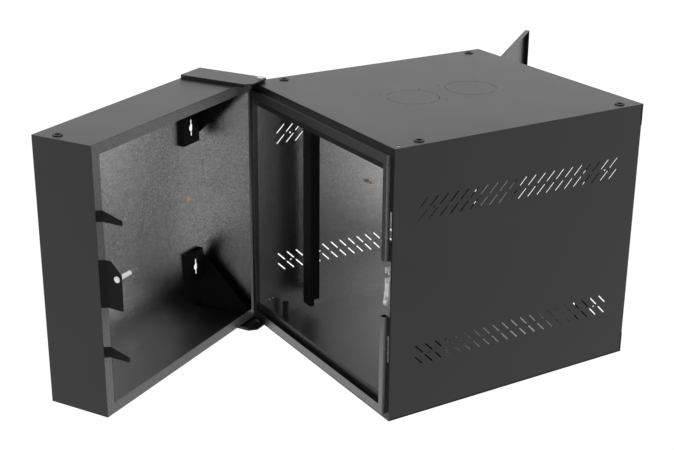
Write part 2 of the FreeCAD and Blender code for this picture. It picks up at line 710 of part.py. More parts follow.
keep(plugs("wall_plug", [("-(width / 2 - plug_side)", "-wall_plug", sz) for sz in (1, -1)]), "wall_box_plugs")
PLUG_SPOTS = [(a, b) for a in ("plug_side", "width - plug_side") for b in ("plug_rear", "cabinet_depth - plug_front")]
keep(plugs("cabinet_plug", [(u(a), v(b), s) for a, b in PLUG_SPOTS for s in (1, -1)]), "cabinet_plugs", on_cabinet)

# ---------------------------------------------------------------- cabinet: casing

for end, cover, s in ENDS:
    part = body("cabinet_" + cover)
    # Cover with the walls at its two ends, as one bent sheet.
    out = "%d * height / 2" % s
    inn = "%d * (height / 2 - sheet)" % s
    sk = sketch(part, "YZ", "pivot_inset - width")
    outline(sk, [
        (v("0"), out), (v("cabinet_depth"), out), (v("cabinet_depth"), "%d * (height / 2 - tray_front)" % s),
        (v("cabinet_depth - sheet"), "%d * (height / 2 - tray_front)" % s), (v("cabinet_depth - sheet"), inn),
        (v("sheet"), inn), (v("sheet"), "%d * (height / 2 - tray_rear)" % s),
        (v("0"), "%d * (height / 2 - tray_rear)" % s),
    ])
    pad(part, sk, "width")
    # Side walls, inside the side panels.
    sk = sketch(part, "XY", inn)
    for a, b in (("side_inset + sheet", "side_inset + 2 * sheet"),
                 ("width - side_inset - sheet", "width - side_inset - 2 * sheet")):
        rect(sk, u(a), v("sheet"), u(b), v("cabinet_depth - sheet"))
    pad(part, sk, "tray_rear - sheet", back=(s > 0))
    # Holes for both pivots, so that it can be hung either way, and for the plugs.
    sk = sketch(part, "XY", out)
    circle(sk, u("pivot_inset"), v("pivot_setback"), "pivot_radius + pivot_play")
    circle(sk, u("width - pivot_inset"), v("pivot_setback"), "pivot_radius + pivot_play")
    for a, b in PLUG_SPOTS:
        facets(sk, u(a), v(b), "plug_barrel", PLUG_SIDES)
    pocket(part, sk, "4 * sheet", both=True)
    if s > 0:
        # Two fan knock-outs: a cut ring held by bridges, and four fixing holes each.
        fans = ("cabinet_depth / 2 - fan_offset", "cabinet_depth / 2 + fan_offset")
        for b in fans:
            sk = sketch(part, "XY", out)
            facets(sk, u("width / 2"), v(b), "fan_radius + fan_cut / 2", RING_SIDES)
            facets(sk, u("width / 2"), v(b), "fan_radius - fan_cut / 2", RING_SIDES)
            pocket(part, sk, "4 * sheet", both=True)
        for b in fans:
            for along, across in (("fan_radius + fan_cut", "fan_bridge / 2"), ("fan_bridge / 2", "fan_radius + fan_cut")):
                sk = sketch(part, "XY", inn)
                rect(sk, u("width / 2 - (%s)" % along), v("%s - (%s)" % (b, across)),
                     u("width / 2 + (%s)" % along), v("%s + (%s)" % (b, across)))
                pad(part, sk, "sheet")
        sk = sketch(part, "XY", out)
        for b in fans:
            for a in (-1, 1):
                for c in (-1, 1):
                    facets(sk, u("width / 2 + %d * fan_square" % a), v("%s + %d * fan_square" % (b, c)), "fan_hole")
        pocket(part, sk, "4 * sheet", both=True)
    keep(part, "cabinet_" + cover, on_cabinet)

# Side panels: a sheet with returns front and rear, and two bands of slanting slots.
for name, a in (("hinge_side_panel", lambda t: t), ("latch_side_panel", lambda t: "width - (%s)" % t)):
    part = body(name)
    latch = name.startswith("latch")
    sk = sketch(part, "YZ", u(a("side_inset")))
    rect(sk, v("sheet"), "-height / 2 + sheet", v("cabinet_depth - sheet"), "height / 2 - sheet")
    pad(part, sk, "sheet", back=not latch)
    sk = sketch(part, "XY", "-height / 2 + tray_rear")
    rect(sk, u(a("side_inset")), v("0"), u(a("rear_strip")), v("sheet"))
    pad(part, sk, "height - 2 * tray_rear")
    sk = sketch(part, "XY", "-height / 2 + tray_front")
    rect(sk, u(a("side_inset")), v("cabinet_depth - sheet"), u(a("front_strip")), v("cabinet_depth"))
    pad(part, sk, "height - 2 * tray_front")
    slant = "sqrt(vent_run * vent_run + vent_rise * vent_rise)"
    along = "(vent_width / 2 * vent_rise / %s)" % slant
    up = "(vent_width / 2 * vent_run / %s)" % slant
    for s in (1, -1):
        sk = sketch(part, "YZ", u(a("side_inset")))
        for k in (-1, 1):
            # Each slot slants: up towards the front in the upper band, down in the lower.
            mid = "%d * vent_middle + %d * vent_rows / 2" % (s, k)
            outline(sk, [
                (v("vent_start + %s" % along), "%s - %d * (vent_rise / 2 + %s)" % (mid, s, up)),
                (v("vent_start + vent_run + %s" % along), "%s + %d * (vent_rise / 2 - %s)" % (mid, s, up)),
                (v("vent_start + vent_run - %s" % along), "%s + %d * (vent_rise / 2 + %s)" % (mid, s, up)),
                (v("vent_start - %s" % along), "%s - %d * (vent_rise / 2 - %s)" % (mid, s, up)),
            ])
        slots = pocket(part, sk, "6 * sheet", both=True)
        pattern = row_of(part, slots, sk, "H_Axis", "vent_pitch", "vent_count")
        pattern.Reversed = True
        doc.recompute()
        sk = sketch(part, "YZ", u(a("side_inset")))
        facets(sk, v("fix_first"), "%d * vent_middle" % s, "fix_radius")
        facets(sk, v("fix_last"), "%d * vent_middle" % s, "fix_radius")
        pocket(part, sk, "6 * sheet", both=True)
    if latch:
        # Slots for the guide tabs, and a gap for the latch.
        sk = sketch(part, "XZ", "-pivot_setback")
        slot_in = "width - (side_inset + sheet + tab_shift + bracket_sheet / 2 + slot_width / 2)"
        slot_out = "width - (side_inset + sheet + tab_shift + bracket_sheet / 2 - slot_width / 2)"
        for s in (1, -1):
            rect(sk, u(slot_in), "%d * slot_middle - slot_height / 2" % s,
                 u(slot_out), "%d * slot_middle + slot_height / 2" % s)
        rect(sk, u("width - rear_strip - 1"), GATE_BOTTOM, u("width - gate_margin"), GATE_TOP)
        pocket(part, sk, "4 * sheet", both=True)
    keep(part, name, on_cabinet)

# Rear rim: a hollow frame that stands out towards the wall section, with a gap at the latch.
part = body("rear_rim")
RIM_LOW = "height / 2 - rim_top - rim_width"
sk = sketch(part, "XZ", "-pivot_setback")
rect(sk, u("rim_side"), "-height / 2 + rim_top", u("width - rim_side"), "height / 2 - rim_top")
rect(sk, u("rear_strip"), "-(%s)" % RIM_LOW, u("width - rear_strip"), RIM_LOW)
pad(part, sk, "rim_depth", back=True)
sk = sketch(part, "XZ", "-pivot_setback")
rect(sk, u("rim_side + sheet"), "-height / 2 + rim_top + sheet", u("width - rim_side - sheet"),
     "height / 2 - rim_top - sheet")
rect(sk, u("rear_strip - sheet"), "-(%s) - sheet" % RIM_LOW, u("width - rear_strip + sheet"), "%s + sheet" % RIM_LOW)
pocket(part, sk, "rim_depth - sheet", back=False)
sk = sketch(part, "XZ", "-pivot_setback - rim_depth - 1")
rect(sk, u("width - rear_strip - 1"), GATE_BOTTOM, u("width - rim_side + 1"), GATE_TOP)
pocket(part, sk, "4 * rim_depth", both=True)
keep(part, "rear_rim", on_cabinet)

# ---------------------------------------------------------------- cabinet: rack rails

RAIL_OUT = "(width - rack_clear) / 2 - rail_flange"
RAIL_IN = "(width - rack_clear) / 2"


def hole_across(a):
    return u(a("%s - rack_edge" % RAIL_IN))


for where, face, d in (("rear", "rail_rear", 1), ("front", "cabinet_depth - rail_front", -1)):
    for side, a in (("hinge_side", lambda t: t), ("latch_side", lambda t: "width - (%s)" % t)):
        name = "%s_rail_%s" % (where, side)
        part = body(name)
        sk = sketch(part, "XY", "-rack_units * rack_unit / 2 - rail_over / 2")
        outline(sk, [
            (u(a(RAIL_OUT)), v(face)), (u(a(RAIL_IN)), v(face)),
            (u(a(RAIL_IN)), v("%s + %d * rail_return" % (face, d))),
            (u(a("%s - rail_sheet" % RAIL_IN)), v("%s + %d * rail_return" % (face, d))),
            (u(a("%s - rail_sheet" % RAIL_IN)), v("%s + %d * rail_sheet" % (face, d))),
            (u(a("%s + rail_sheet" % RAIL_OUT)), v("%s + %d * rail_sheet" % (face, d))),
            (u(a("%s + rail_sheet" % RAIL_OUT)), v("%s + %d * rail_web" % (face, d))),
            (u(a(RAIL_OUT)), v("%s + %d * rail_web" % (face, d))),
        ])
        pad(part, sk, "rack_units * rack_unit + rail_over")
        sk = sketch(part, "XZ", "-(%s)" % v(face))
        for i in range(3):
            facets(sk, hole_across(a), "-rack_units * rack_unit / 2 + rack_low + %d * rack_step" % i, "rack_hole")
        holes = pocket(part, sk, "4 * rail_sheet", both=True)
        row_of(part, holes, sk, "V_Axis", "rack_unit", "rack_units")
        if where == "front":
            # The end holes, by which equipment is located, are true circles.
            sk = sketch(part, "XZ", "-(%s)" % v(face))
            for s in (1, -1):
                circle(sk, hole_across(a), "%d * (rack_units * rack_unit / 2 - rack_low)" % s, "rack_hole")
            pocket(part, sk, "4 * rail_sheet", both=True)
        keep(part, name, on_cabinet)

    # Hangers: short channels that carry the rails' ends on the tray walls.
    made = []
    back = "%s + rail_web - hanger_length" % face if d > 0 else "%s - rail_web" % face
    for end, cover, s in ENDS:
        for side, a in (("hinge_side", lambda t: t), ("latch_side", lambda t: "width - (%s)" % t)):
            part = body("%s_hanger_%s_%s" % (where, end, side))
            sk = sketch(part, "XZ", "-(%s)" % v(back))
            z0 = "%d * (height / 2 - tray_rear)" % s
            z1 = "%d * (height / 2 - tray_rear + bracket_sheet)" % s
            z2 = "%d * (rack_units * rack_unit / 2 + rail_over / 2)" % s
            p0 = "side_inset + 2 * sheet"
            p1 = RAIL_OUT
            outline(sk, [
                (u(a(p0)), z0), (u(a(p1)), z0), (u(a(p1)), z2), (u(a("%s - bracket_sheet" % p1)), z2),
                (u(a("%s - bracket_sheet" % p1)), z1), (u(a("%s + bracket_sheet" % p0)), z1),
                (u(a("%s + bracket_sheet" % p0)), z2), (u(a(p0)), z2),
            ])
            pad(part, sk, "hanger_length")
            made.append(part)
    keep(group(where + "_hanger_set", made), where + "_rail_hangers", on_cabinet)

# ---------------------------------------------------------------- cabinet: latch

LATCH_A = "width - housing_side"
LATCH_B = "width - housing_side - housing_width"
part = body("latch_housing")
sk = sketch(part, "YZ", u(LATCH_A))
rect(sk, v("housing_rear"), "housing_bottom", v("housing_rear + housing_depth"), "housing_top")
pad(part, sk, "housing_width")
# Hollow between the two plates, open at the rear, top and bottom.
sk = sketch(part, "YZ", u("%s - housing_sheet" % LATCH_A))
rect(sk, v("housing_rear - 1"), "housing_bottom - 1", v("housing_rear + housing_depth - housing_sheet"),
     "housing_top + 1")
pocket(part, sk, "housing_width - 2 * housing_sheet", back=True)
# Mouth for the striker, and holes for the two pins.
sk = sketch(part, "YZ", u("%s + 1" % LATCH_A))
mouth = "striker_radius + striker_play"
rect(sk, v("housing_rear - 1"), "striker_z - (%s)" % mouth,
     v("striker_reach - wall_gap + (%s)" % mouth), "striker_z + (%s)" % mouth)
circle(sk, v("claw_back"), "claw_z", "claw_pin")
circle(sk, v("pawl_back"), "pawl_z", "pawl_pin + pivot_play")
pocket(part, sk, "housing_width + 2", back=True)
# Foot that reaches the side panel.
sk = sketch(part, "XY", "housing_bottom")
back = "housing_rear + housing_depth"
wall_face = "width - side_inset - sheet"
outline(sk, [
    (u(LATCH_A), v("%s - housing_sheet" % back)), (u(wall_face), v("%s - housing_sheet" % back)),
    (u(wall_face), v("%s + housing_foot" % back)), (u("%s - housing_sheet" % wall_face), v("%s + housing_foot" % back)),
    (u("%s - housing_sheet" % wall_face), v(back)), (u(LATCH_A), v(back)),
])
pad(part, sk, "housing_top - housing_bottom")
keep(part, "latch_housing", on_cabinet)


PIN_LONG = "housing_width + pin_over + spring_side + spring_radius + 1"
PIN_FROM = u("%s - (%s)" % (LATCH_A, "housing_width + spring_side + spring_radius + 1"))
PIN_FROM = "%s - (%s)" % (PIN_FROM, PIN_LONG)
pin = cyl("claw_pin_bar", "claw_pin", PIN_LONG, PIN_FROM, v("claw_back"), "claw_z", "x")
keep(pin_in_cabinet(pin, "claw_pin_set"), "claw_pin", on_cabinet)

# Claw: a disc with a wide notch round its hub. It stands open, with the notch at the mouth.
CLAW_THICK = "housing_width - 2 * housing_sheet - 2 * claw_side"
CLAW_FACE = u("%s - housing_sheet - claw_side" % LATCH_A)
part = body("latch_claw")
sk = sketch(part, "YZ", CLAW_FACE)
centre = Vector(num(v("claw_back")), num("claw_z"), 0)
a0 = math.radians(num("claw_first"))
a1 = math.radians(num("claw_last") + 360)
arc = Part.ArcOfCircle(Part.Circle(centre, Vector(0, 0, 1), num("claw_radius")), a0, a1)
sk.addGeometry(arc)
sk.addGeometry(Part.LineSegment(centre, arc.StartPoint))
sk.addGeometry(Part.LineSegment(centre, arc.EndPoint))
hold(sk, 0, 3, v("claw_back"), "claw_z")
sk.addConstraint(Sketcher.Constraint("Coincident", 1, 1, 0, 3))
sk.addConstraint(Sketcher.Constraint("Coincident", 1, 2, 0, 1))
sk.addConstraint(Sketcher.Constraint("Coincident", 2, 1, 0, 3))
sk.addConstraint(Sketcher.Constraint("Coincident", 2, 2, 0, 2))
for name, prop, text in (("Radius", 0, "claw_radius"), ("Angle", 1, "claw_first"), ("Angle", 2, "claw_last")):
    now = num(text) if name == "Radius" else math.radians(num(text))
    c = sk.addConstraint(Sketcher.Constraint(name, prop, now))
    rule(sk, "Constraints[%d]" % c, text if name == "Radius" else text + " * 1 deg")
pad(part, sk, CLAW_THICK)
sk = sketch(part, "YZ", CLAW_FACE)
circle(sk, v("claw_back"), "claw_z", "claw_hub")
pad(part, sk, CLAW_THICK)
sk = sketch(part, "YZ", CLAW_FACE)
circle(sk, v("claw_back"), "claw_z", "claw_pin + pivot_play")
pocket(part, sk, "4 * housing_width", both=True)
keep(part, "latch_claw", on_cabinet)

# Pawl beside the claw, on the shaft that the release lever turns.
part = body("latch_pawl")
sk = sketch(part, "YZ", CLAW_FACE)
circle(sk, v("pawl_back"), "pawl_z", "pawl_hub")
pad(part, sk, CLAW_THICK)
sk = sketch(part, "YZ", CLAW_FACE)
outline(sk, [
    (v("pawl_back - pawl_hub - pawl_lean"), "pawl_z + pawl_finger"),
    (v("pawl_back - pawl_hub - pawl_lean + pawl_tip"), "pawl_z + pawl_finger"),
    (v("pawl_back - pawl_root"), "pawl_z + pawl_root"), (v("pawl_back - pawl_root"), "pawl_z - pawl_root"),
    (v("pawl_back - pawl_hub + pawl_lean / 12"), "pawl_z"),
])
pad(part, sk, CLAW_THICK)
sk = sketch(part, "YZ", CLAW_FACE)
circle(sk, v("pawl_back"), "pawl_z", "pawl_pin")
pocket(part, sk, "4 * housing_width", both=True)
keep(part, "latch_pawl", on_cabinet)

shaft = cyl("pawl_shaft_bar", "pawl_pin", PIN_LONG, PIN_FROM, v("pawl_back"), "pawl_z", "x")
keep(pin_in_cabinet(shaft, "pawl_shaft_set"), "pawl_shaft", on_cabinet)

LEVER_FACE = u("%s - lever_gap" % LATCH_B)
part = body("release_lever")
sk = sketch(part, "YZ", LEVER_FACE)
outline(sk, [
    (v("pawl_back - lever_width"), "pawl_z"), (v("roller_back - lever_width"), "roller_z"),
    (v("roller_back + lever_width"), "roller_z"), (v("pawl_back + lever_width"), "pawl_z"),
])
pad(part, sk, "lever_sheet")
for y, z in (("pawl_back", "pawl_z"), ("roller_back", "roller_z")):
    sk = sketch(part, "YZ", LEVER_FACE)
    facets(sk, v(y), z, "lever_width", PLUG_SIDES)
    pad(part, sk, "lever_sheet")
sk = sketch(part, "YZ", LEVER_FACE)
circle(sk, v("pawl_back"), "pawl_z", "pawl_pin")
pocket(part, sk, "4 * housing_width", both=True)
keep(part, "release_lever", on_cabinet)

roller = cyl("roller_bar", "roller_radius", "roller_length",
             u("%s - lever_gap + roller_length" % LATCH_B), v("roller_back"), "roller_z", "x")
keep(pin_in_cabinet(roller, "roller_set"), "release_roller", on_cabinet)

# Latch spring, drawn as its outside, between the two pins.
lay = "(claw_back - pawl_back)"
rise = "(claw_z - pawl_z)"
span = "sqrt(%s * %s + %s * %s)" % (lay, lay, rise, rise)
coil = doc.addObject("Part::Cylinder", "spring_coil")
rule(coil, "Radius", "spring_radius")
rule(coil, "Height", "%s - claw_pin - pawl_pin - 2 * seat_gap" % span)
coil.Placement = Placement(Vector(0, 0, 0), Rotation(Vector(1, 0, 0), 30))
rule(coil, "Placement.Base.x", u("%s - spring_side" % LATCH_B))
rule(coil, "Placement.Base.y", "%s - (pawl_pin + seat_gap) * %s / %s" % (v("pawl_back"), lay, span))
rule(coil, "Placement.Base.z", "pawl_z + (pawl_pin + seat_gap) * %s / %s" % (rise, span))
rule(coil, "Placement.Rotation.Angle", "atan(%s / %s)" % (lay, rise))
keep(pin_in_cabinet(coil, "spring_set"), "latch_spring", on_cabinet)

# ---------------------------------------------------------------- front door

# Lugs behind the front walls, with the holes in which the door's pins turn.
for end, cover, s in ENDS:
    part = body("%s_door_lug" % end)
    sk = sketch(part, "YZ", u("door_pivot_side + lug_width / 2"))
    edge = "(height / 2 - tray_front)"
    outline(sk, [
        (v("cabinet_depth - sheet"), "%d * %s" % (s, edge)), (v("cabinet_depth - sheet - lug_depth"), "%d * %s" % (s, edge)),
        (v("cabinet_depth - sheet - lug_depth"), "%d * (%s + bracket_sheet)" % (s, edge)),
        (v("cabinet_depth - sheet - bracket_sheet"), "%d * (%s + bracket_sheet)" % (s, edge)),
        (v("cabinet_depth - sheet - bracket_sheet"), "%d * (%s + lug_height)" % (s, edge)),
        (v("cabinet_depth - sheet"), "%d * (%s + lug_height)" % (s, edge)),
    ])
    pad(part, sk, "lug_width")
    sk = sketch(part, "XY", "%d * %s" % (s, edge))
    circle(sk, u("door_pivot_side"), v("cabinet_depth - door_pivot_back"), "door_pin + pivot_play")
    pocket(part, sk, "6 * bracket_sheet", both=True)
    keep(part, "%s_door_lug" % end, on_cabinet)

DOOR_A = "front_strip + door_gap"
DOOR_B = "width - front_strip - door_gap"
DOOR_Z = "(height / 2 - tray_front - door_gap)"
DOOR_FACE = "cabinet_depth + door_proud"
part = body("front_door")
sk = sketch(part, "XZ", "-(%s)" % dv(DOOR_FACE))
rect(sk, du(DOOR_A), "-%s" % DOOR_Z, du(DOOR_B), DOOR_Z)
pad(part, sk, "door_deep", back=True)
sk = sketch(part, "XZ", "-(%s)" % dv("%s - door_sheet" % DOOR_FACE))
rect(sk, du("%s + door_sheet" % DOOR_A), "-%s + door_sheet" % DOOR_Z, du("%s - door_sheet" % DOOR_B),
     "%s - door_sheet" % DOOR_Z)
pocket(part, sk, "door_deep")
# Holes for the pins, the lock, and a notch for the cam.
sk = sketch(part, "XY")
circle(sk, "0", "0", "door_pin")
pocket(part, sk, "2 * height", both=True)
LOCK_U = "%s - lock_side" % DOOR_B
sk = sketch(part, "XZ", "-(%s)" % dv(DOOR_FACE))
facets(sk, du(LOCK_U), "0", "lock_barrel", RING_SIDES)
pocket(part, sk, "4 * door_sheet", both=True)
sk = sketch(part, "YZ", du(DOOR_B))
rect(sk, dv("%s - door_deep - 1" % DOOR_FACE), "-cam_length - 1", dv("%s - 2 * door_sheet" % DOOR_FACE),
     "cam_width / 2 + 1.5")
pocket(part, sk, "4 * door_sheet", both=True)
keep(part, "front_door", on_door)

for end, cover, s in ENDS:
    low = "%s - door_pin_in" % DOOR_Z if s > 0 else "-%s - door_pin_up" % DOOR_Z
    bar = cyl("%s_door_pin_bar" % end, "door_pin", "door_pin_in + door_pin_up", "0", "0", low)
    keep(group("%s_door_pin_set" % end, [bar]), "%s_door_pin" % end, on_door)

OUT = dv(DOOR_FACE)
flange = prism("lock_flange_disc", RING_SIDES, "lock_flange", "lock_rise", du(LOCK_U), "%s - lock_rise" % OUT, "0", "y")
barrel = prism("lock_barrel_tube", RING_SIDES, "lock_barrel", "lock_length", du(LOCK_U), OUT, "0", "y")
bore = cyl("lock_bore", "lock_plug + pivot_play", "lock_length + 2 * lock_rise", du(LOCK_U), "%s - lock_rise" % OUT, "0", "y")
keep(cut("lock_housing_cut", fuse("lock_housing_solid", [flange, barrel]), bore), "lock_housing", on_door)
nut = prism("lock_nut_hex", 6, "lock_hex", "lock_nut", du(LOCK_U), "%s + door_sheet" % OUT, "0", "y")
bore = prism("lock_nut_bore", RING_SIDES, "lock_barrel", "lock_nut", du(LOCK_U), "%s + door_sheet" % OUT, "0", "y")
keep(cut("lock_nut_cut", nut, bore), "lock_nut", on_door)
plug = cyl("lock_plug_bar", "lock_plug", "lock_length + lock_rise", du(LOCK_U), "%s - lock_rise" % OUT, "0", "y")
keep(group("lock_plug_set", [plug]), "lock_plug", on_door)

# Cam: flat under the plug, then cranked forwards behind the frame. It stands unlocked, pointing down.
part = body("lock_cam")
sk = sketch(part, "YZ", du("%s + cam_width / 2" % LOCK_U))
end_y = "%s + lock_length" % OUT
outline(sk, [
    (end_y, "cam_width / 2"), ("%s + cam_sheet" % end_y, "cam_width / 2"),
    ("%s + cam_sheet" % end_y, "-lock_barrel - 2"),
    ("%s + cam_sheet - cam_crank" % end_y, "-lock_barrel - 8"),
    ("%s + cam_sheet - cam_crank" % end_y, "-cam_length"), ("%s - cam_crank" % end_y, "-cam_length"),
    ("%s - cam_crank" % end_y, "-lock_barrel - 7"), (end_y, "-lock_barrel - 1"),
])
pad(part, sk, "cam_width")
keep(part, "lock_cam", on_door)

# ---------------------------------------------------------------- check and write

doc.recompute()
for obj in doc.Objects:
    if "Invalid" in obj.State or "Error" in obj.State:
        raise RuntimeError("%s did not compute" % obj.Label)
for piece in PIECES:
    if piece.Shape.isNull() or not piece.Shape.isValid() or not piece.Shape.Solids:
        raise RuntimeError("%s has no valid shape" % piece.Label)
for piece in PIECES:
    piece.Shape.exportStep("parts/%s.step" % piece.Label)
print("%d pieces written" % len(PIECES))
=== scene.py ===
import json
import math

import bmesh
import bpy
from mathutils import Matrix, Vector


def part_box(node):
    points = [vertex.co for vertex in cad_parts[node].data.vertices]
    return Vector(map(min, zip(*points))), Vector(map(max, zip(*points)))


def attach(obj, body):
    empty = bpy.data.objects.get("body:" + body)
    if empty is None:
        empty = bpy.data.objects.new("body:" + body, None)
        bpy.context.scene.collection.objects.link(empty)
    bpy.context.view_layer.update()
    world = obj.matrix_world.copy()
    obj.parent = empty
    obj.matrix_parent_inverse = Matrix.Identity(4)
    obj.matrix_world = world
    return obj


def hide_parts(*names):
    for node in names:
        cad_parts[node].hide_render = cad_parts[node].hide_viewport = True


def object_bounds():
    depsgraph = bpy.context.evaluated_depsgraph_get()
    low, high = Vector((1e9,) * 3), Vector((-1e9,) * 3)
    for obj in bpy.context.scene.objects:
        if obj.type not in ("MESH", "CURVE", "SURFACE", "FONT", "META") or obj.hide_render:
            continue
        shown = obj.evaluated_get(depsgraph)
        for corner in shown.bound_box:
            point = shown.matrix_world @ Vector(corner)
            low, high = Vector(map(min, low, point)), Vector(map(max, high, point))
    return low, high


# Swing-out wall cabinet. All lengths are in metres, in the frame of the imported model.

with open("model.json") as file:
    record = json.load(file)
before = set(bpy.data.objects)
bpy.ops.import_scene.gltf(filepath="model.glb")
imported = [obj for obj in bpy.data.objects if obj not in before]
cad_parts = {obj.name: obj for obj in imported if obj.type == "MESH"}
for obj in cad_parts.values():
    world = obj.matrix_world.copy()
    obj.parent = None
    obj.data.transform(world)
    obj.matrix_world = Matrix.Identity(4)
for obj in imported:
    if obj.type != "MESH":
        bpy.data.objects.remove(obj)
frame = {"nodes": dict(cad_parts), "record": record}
cad_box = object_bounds()
nodes = frame["nodes"]
scene = bpy.context.scene
MM = 0.001

# The swinging cabinet's own directions: its width, towards the hinge side, and its depth, towards the door.
SWING = math.radians(60)
ACROSS = Vector((math.cos(SWING), math.sin(SWING), 0))
FORWARD = Vector((math.sin(SWING), -math.cos(SWING), 0))


# ---------------------------------------------------------------- finishes

class Value:
    """A socket of a finish, with the operators of plain arithmetic."""

    def __init__(self, finish, socket):
        self.finish = finish
        self.socket = socket

    def _maths(self, operation, first, second):
        return self.finish.node("Math", {"operation": operation}, {0: first, 1: second})

    def __add__(self, other):
        return self._maths("ADD", self, other)

    def __sub__(self, other):
        return self._maths("SUBTRACT", self, other)

    def __rsub__(self, other):
        return self._maths("SUBTRACT", other, self)

    def __mul__(self, other):
        return self._maths("MULTIPLY", self, other)

    __radd__ = __add__
    __rmul__ = __mul__


class Finish:
    """A material and the nodes that it is made of."""

    def __init__(self, name):
        self.material = bpy.data.materials.new(name)
        self.material.use_nodes = True
        self.tree = self.material.node_tree
        self.tree.nodes.clear()
        self.place = self.node("TexCoord", output="Object")

    def feed(self, socket, value):
        """A link from a value, or a plain number, colour or vector set on the socket itself."""
        if isinstance(value, Value):
            self.tree.links.new(value.socket, socket)
        else:
            socket.default_value = value

    def node(self, kind, settings=None, inputs=None, output=0):
        """One node: its settings first, then the values or links of its sockets."""
        made = self.tree.nodes.new("ShaderNode" + kind)
        for name, value in (settings or {}).items():
            setattr(made, name, value)
        for name, value in (inputs or {}).items():
            self.feed(made.inputs[name], value)
        return Value(self, made.outputs[output]) if made.outputs else None

    def noise(self, scale, detail=2.0, roughness=0.5):
        return self.node("TexNoise", None, {"Vector": self.place, "Scale": scale, "Detail": detail,
                                            "Roughness": roughness})

    def ramp(self, value, low, high):
        """0 below low, 1 above high, and straight between them."""
        return self.node("MapRange", None, {"Value": value, "From Min": low, "From Max": high})

    def mix(self, share, first, second):
        """One colour into another by a share. Each is a value or plain red, green and blue."""
        first, second = (tone if isinstance(tone, Value) else (*tone, 1) for tone in (first, second))
        return self.node("Mix", {"data_type": "RGBA"}, {0: share, 6: first, 7: second}, output=2)

    def bump(self, height, distance, strength=1.0, rounded=0.0):
        """Relief from a height. Sharp edges look rounded over the distance given as rounded."""
        inputs = {"Height": height, "Distance": distance, "Strength": strength}
        if rounded:
            inputs["Normal"] = self.node("Bevel", {"samples": 4}, {"Radius": rounded})
        return self.node("Bump", None, inputs)

    def surface(self, **sockets):
        """The shader itself. A socket's name is written with its spaces as underlines."""
        shader = self.node("BsdfPrincipled", None,
                           {name.replace("_", " "): value for name, value in sockets.items()})
        self.node("OutputMaterial", None, {"Surface": shader})
        return self.material


# Powder paint. Scales are in waves to the metre.
GRAIN_SCALE = 1400
RIPPLE_SCALE = 480
COARSE_SCALE = 900
SPECK_SCALE = 620
FLECK_SCALE = 360
CLOUD_SCALE = 7
RIPPLE_SHARE = 0.4
COARSE_SHARE = 2.4
GRAIN_DEPTH = 0.12 * MM
# Relief depth on the faces that carry the painted sheen
PAINTED_SHEEN_GRAIN_DEPTH = 0.14 * MM
GRAIN_STRENGTH = 0.9
FOLD_ROUNDING = 0.7 * MM
PAINT_IOR = 1.45
COAT_TONES = (0.0045, 0.0045, 0.005), (0.0075, 0.0075, 0.008)
SATIN = 0.30          # roughness of the full coat
CLOUDING = 0.08       # how much that wanders
PAINTED_SHEEN_GLOSS = 0.13     # how much smoother the faces with the painted sheen are
LIP_SHEEN_SHARE = 0.28      # share of the painted sheen on the lips
FLECK_SPREAD = 0.35   # how far the flecks of the painted sheen lie from its mean


def powder_bump(paint, painted_sheen_share=None):
    """The fine grain of powder paint, with a coarser one over it where the painted sheen lies."""
    grain = paint.noise(GRAIN_SCALE, 2.0, 0.6) + RIPPLE_SHARE * paint.noise(RIPPLE_SCALE, 2.0)
    if painted_sheen_share is None:
        return paint.bump(grain, GRAIN_DEPTH, GRAIN_STRENGTH, FOLD_ROUNDING)
    coarse = COARSE_SHARE * painted_sheen_share * paint.noise(COARSE_SCALE, 2.0, 0.7)
    return paint.bump(grain + coarse, PAINTED_SHEEN_GRAIN_DEPTH, GRAIN_STRENGTH, FOLD_ROUNDING)


def painted_sheen_flecks(paint, low, high):
    """The grey of a painted sheen on black paint, in fine flecks."""
    fleck = paint.ramp(paint.noise(FLECK_SCALE, 3.0, 0.75), 0.36, 0.64)
    return paint.mix(fleck, (low, low, low), (high, high, high))


def inside_mask(paint, turn, centre, half):
    """1 within a box that is turned about the upright axis, 0 outside it."""
    cos, sin = math.cos(turn), math.sin(turn)
    directions = (cos, sin, 0), (-sin, cos, 0), (0, 0, 1)
    share = 1.0
    for direction, middle, reach in zip(directions, centre, half):
        along = paint.node("VectorMath", {"operation": "DOT_PRODUCT"}, {0: paint.place, 1: direction},
                           output="Value")
        off = paint.node("Math", {"operation": "ABSOLUTE"}, {0: along - middle})
        near = paint.node("Math", {"operation": "LESS_THAN"}, {0: off, 1: reach})
        share = near * share
    return share


def powder_coat(name, inside=None, sheen=0.0, lips=None):
    """Black powder paint on steel sheets: satin, with a fine even grain and soft tones under it.
    Where inside gives a box, the faces within it carry a painted sheen, a glossy metallic grey of strength
    sheen that makes them shine brighter than black paint. What the box lips holds besides has part of it."""
    paint = Finish(name)
    cloud = paint.noise(CLOUD_SCALE, 3.0)
    speck = paint.ramp(paint.noise(SPECK_SCALE, 1.0), 0.62, 0.7)
    coat = paint.mix(paint.ramp(cloud + 0.2 * speck, 0.35, 0.8), *COAT_TONES)
    satin = SATIN + CLOUDING * cloud
    if inside is None:
        return paint.surface(Base_Color=coat, Roughness=satin, IOR=PAINT_IOR, Normal=powder_bump(paint))
    # Where the painted sheen lies: all of it inside the box, part of it on the lips
    painted_sheen_share = inside_mask(paint, *inside)
    if lips:
        painted_sheen_share = LIP_SHEEN_SHARE * inside_mask(paint, *lips) + (1 - LIP_SHEEN_SHARE) * painted_sheen_share
    # Painted sheen: a bright metallic grey in place of the black coat
    painted_sheen_tone = painted_sheen_flecks(paint, (1 - FLECK_SPREAD) * sheen, (1 + FLECK_SPREAD) * sheen)
    return paint.surface(Base_Color=paint.mix(painted_sheen_share, coat, painted_sheen_tone), Metallic=painted_sheen_share,
                         Roughness=satin - PAINTED_SHEEN_GLOSS * painted_sheen_share, IOR=PAINT_IOR, Normal=powder_bump(paint, painted_sheen_share))


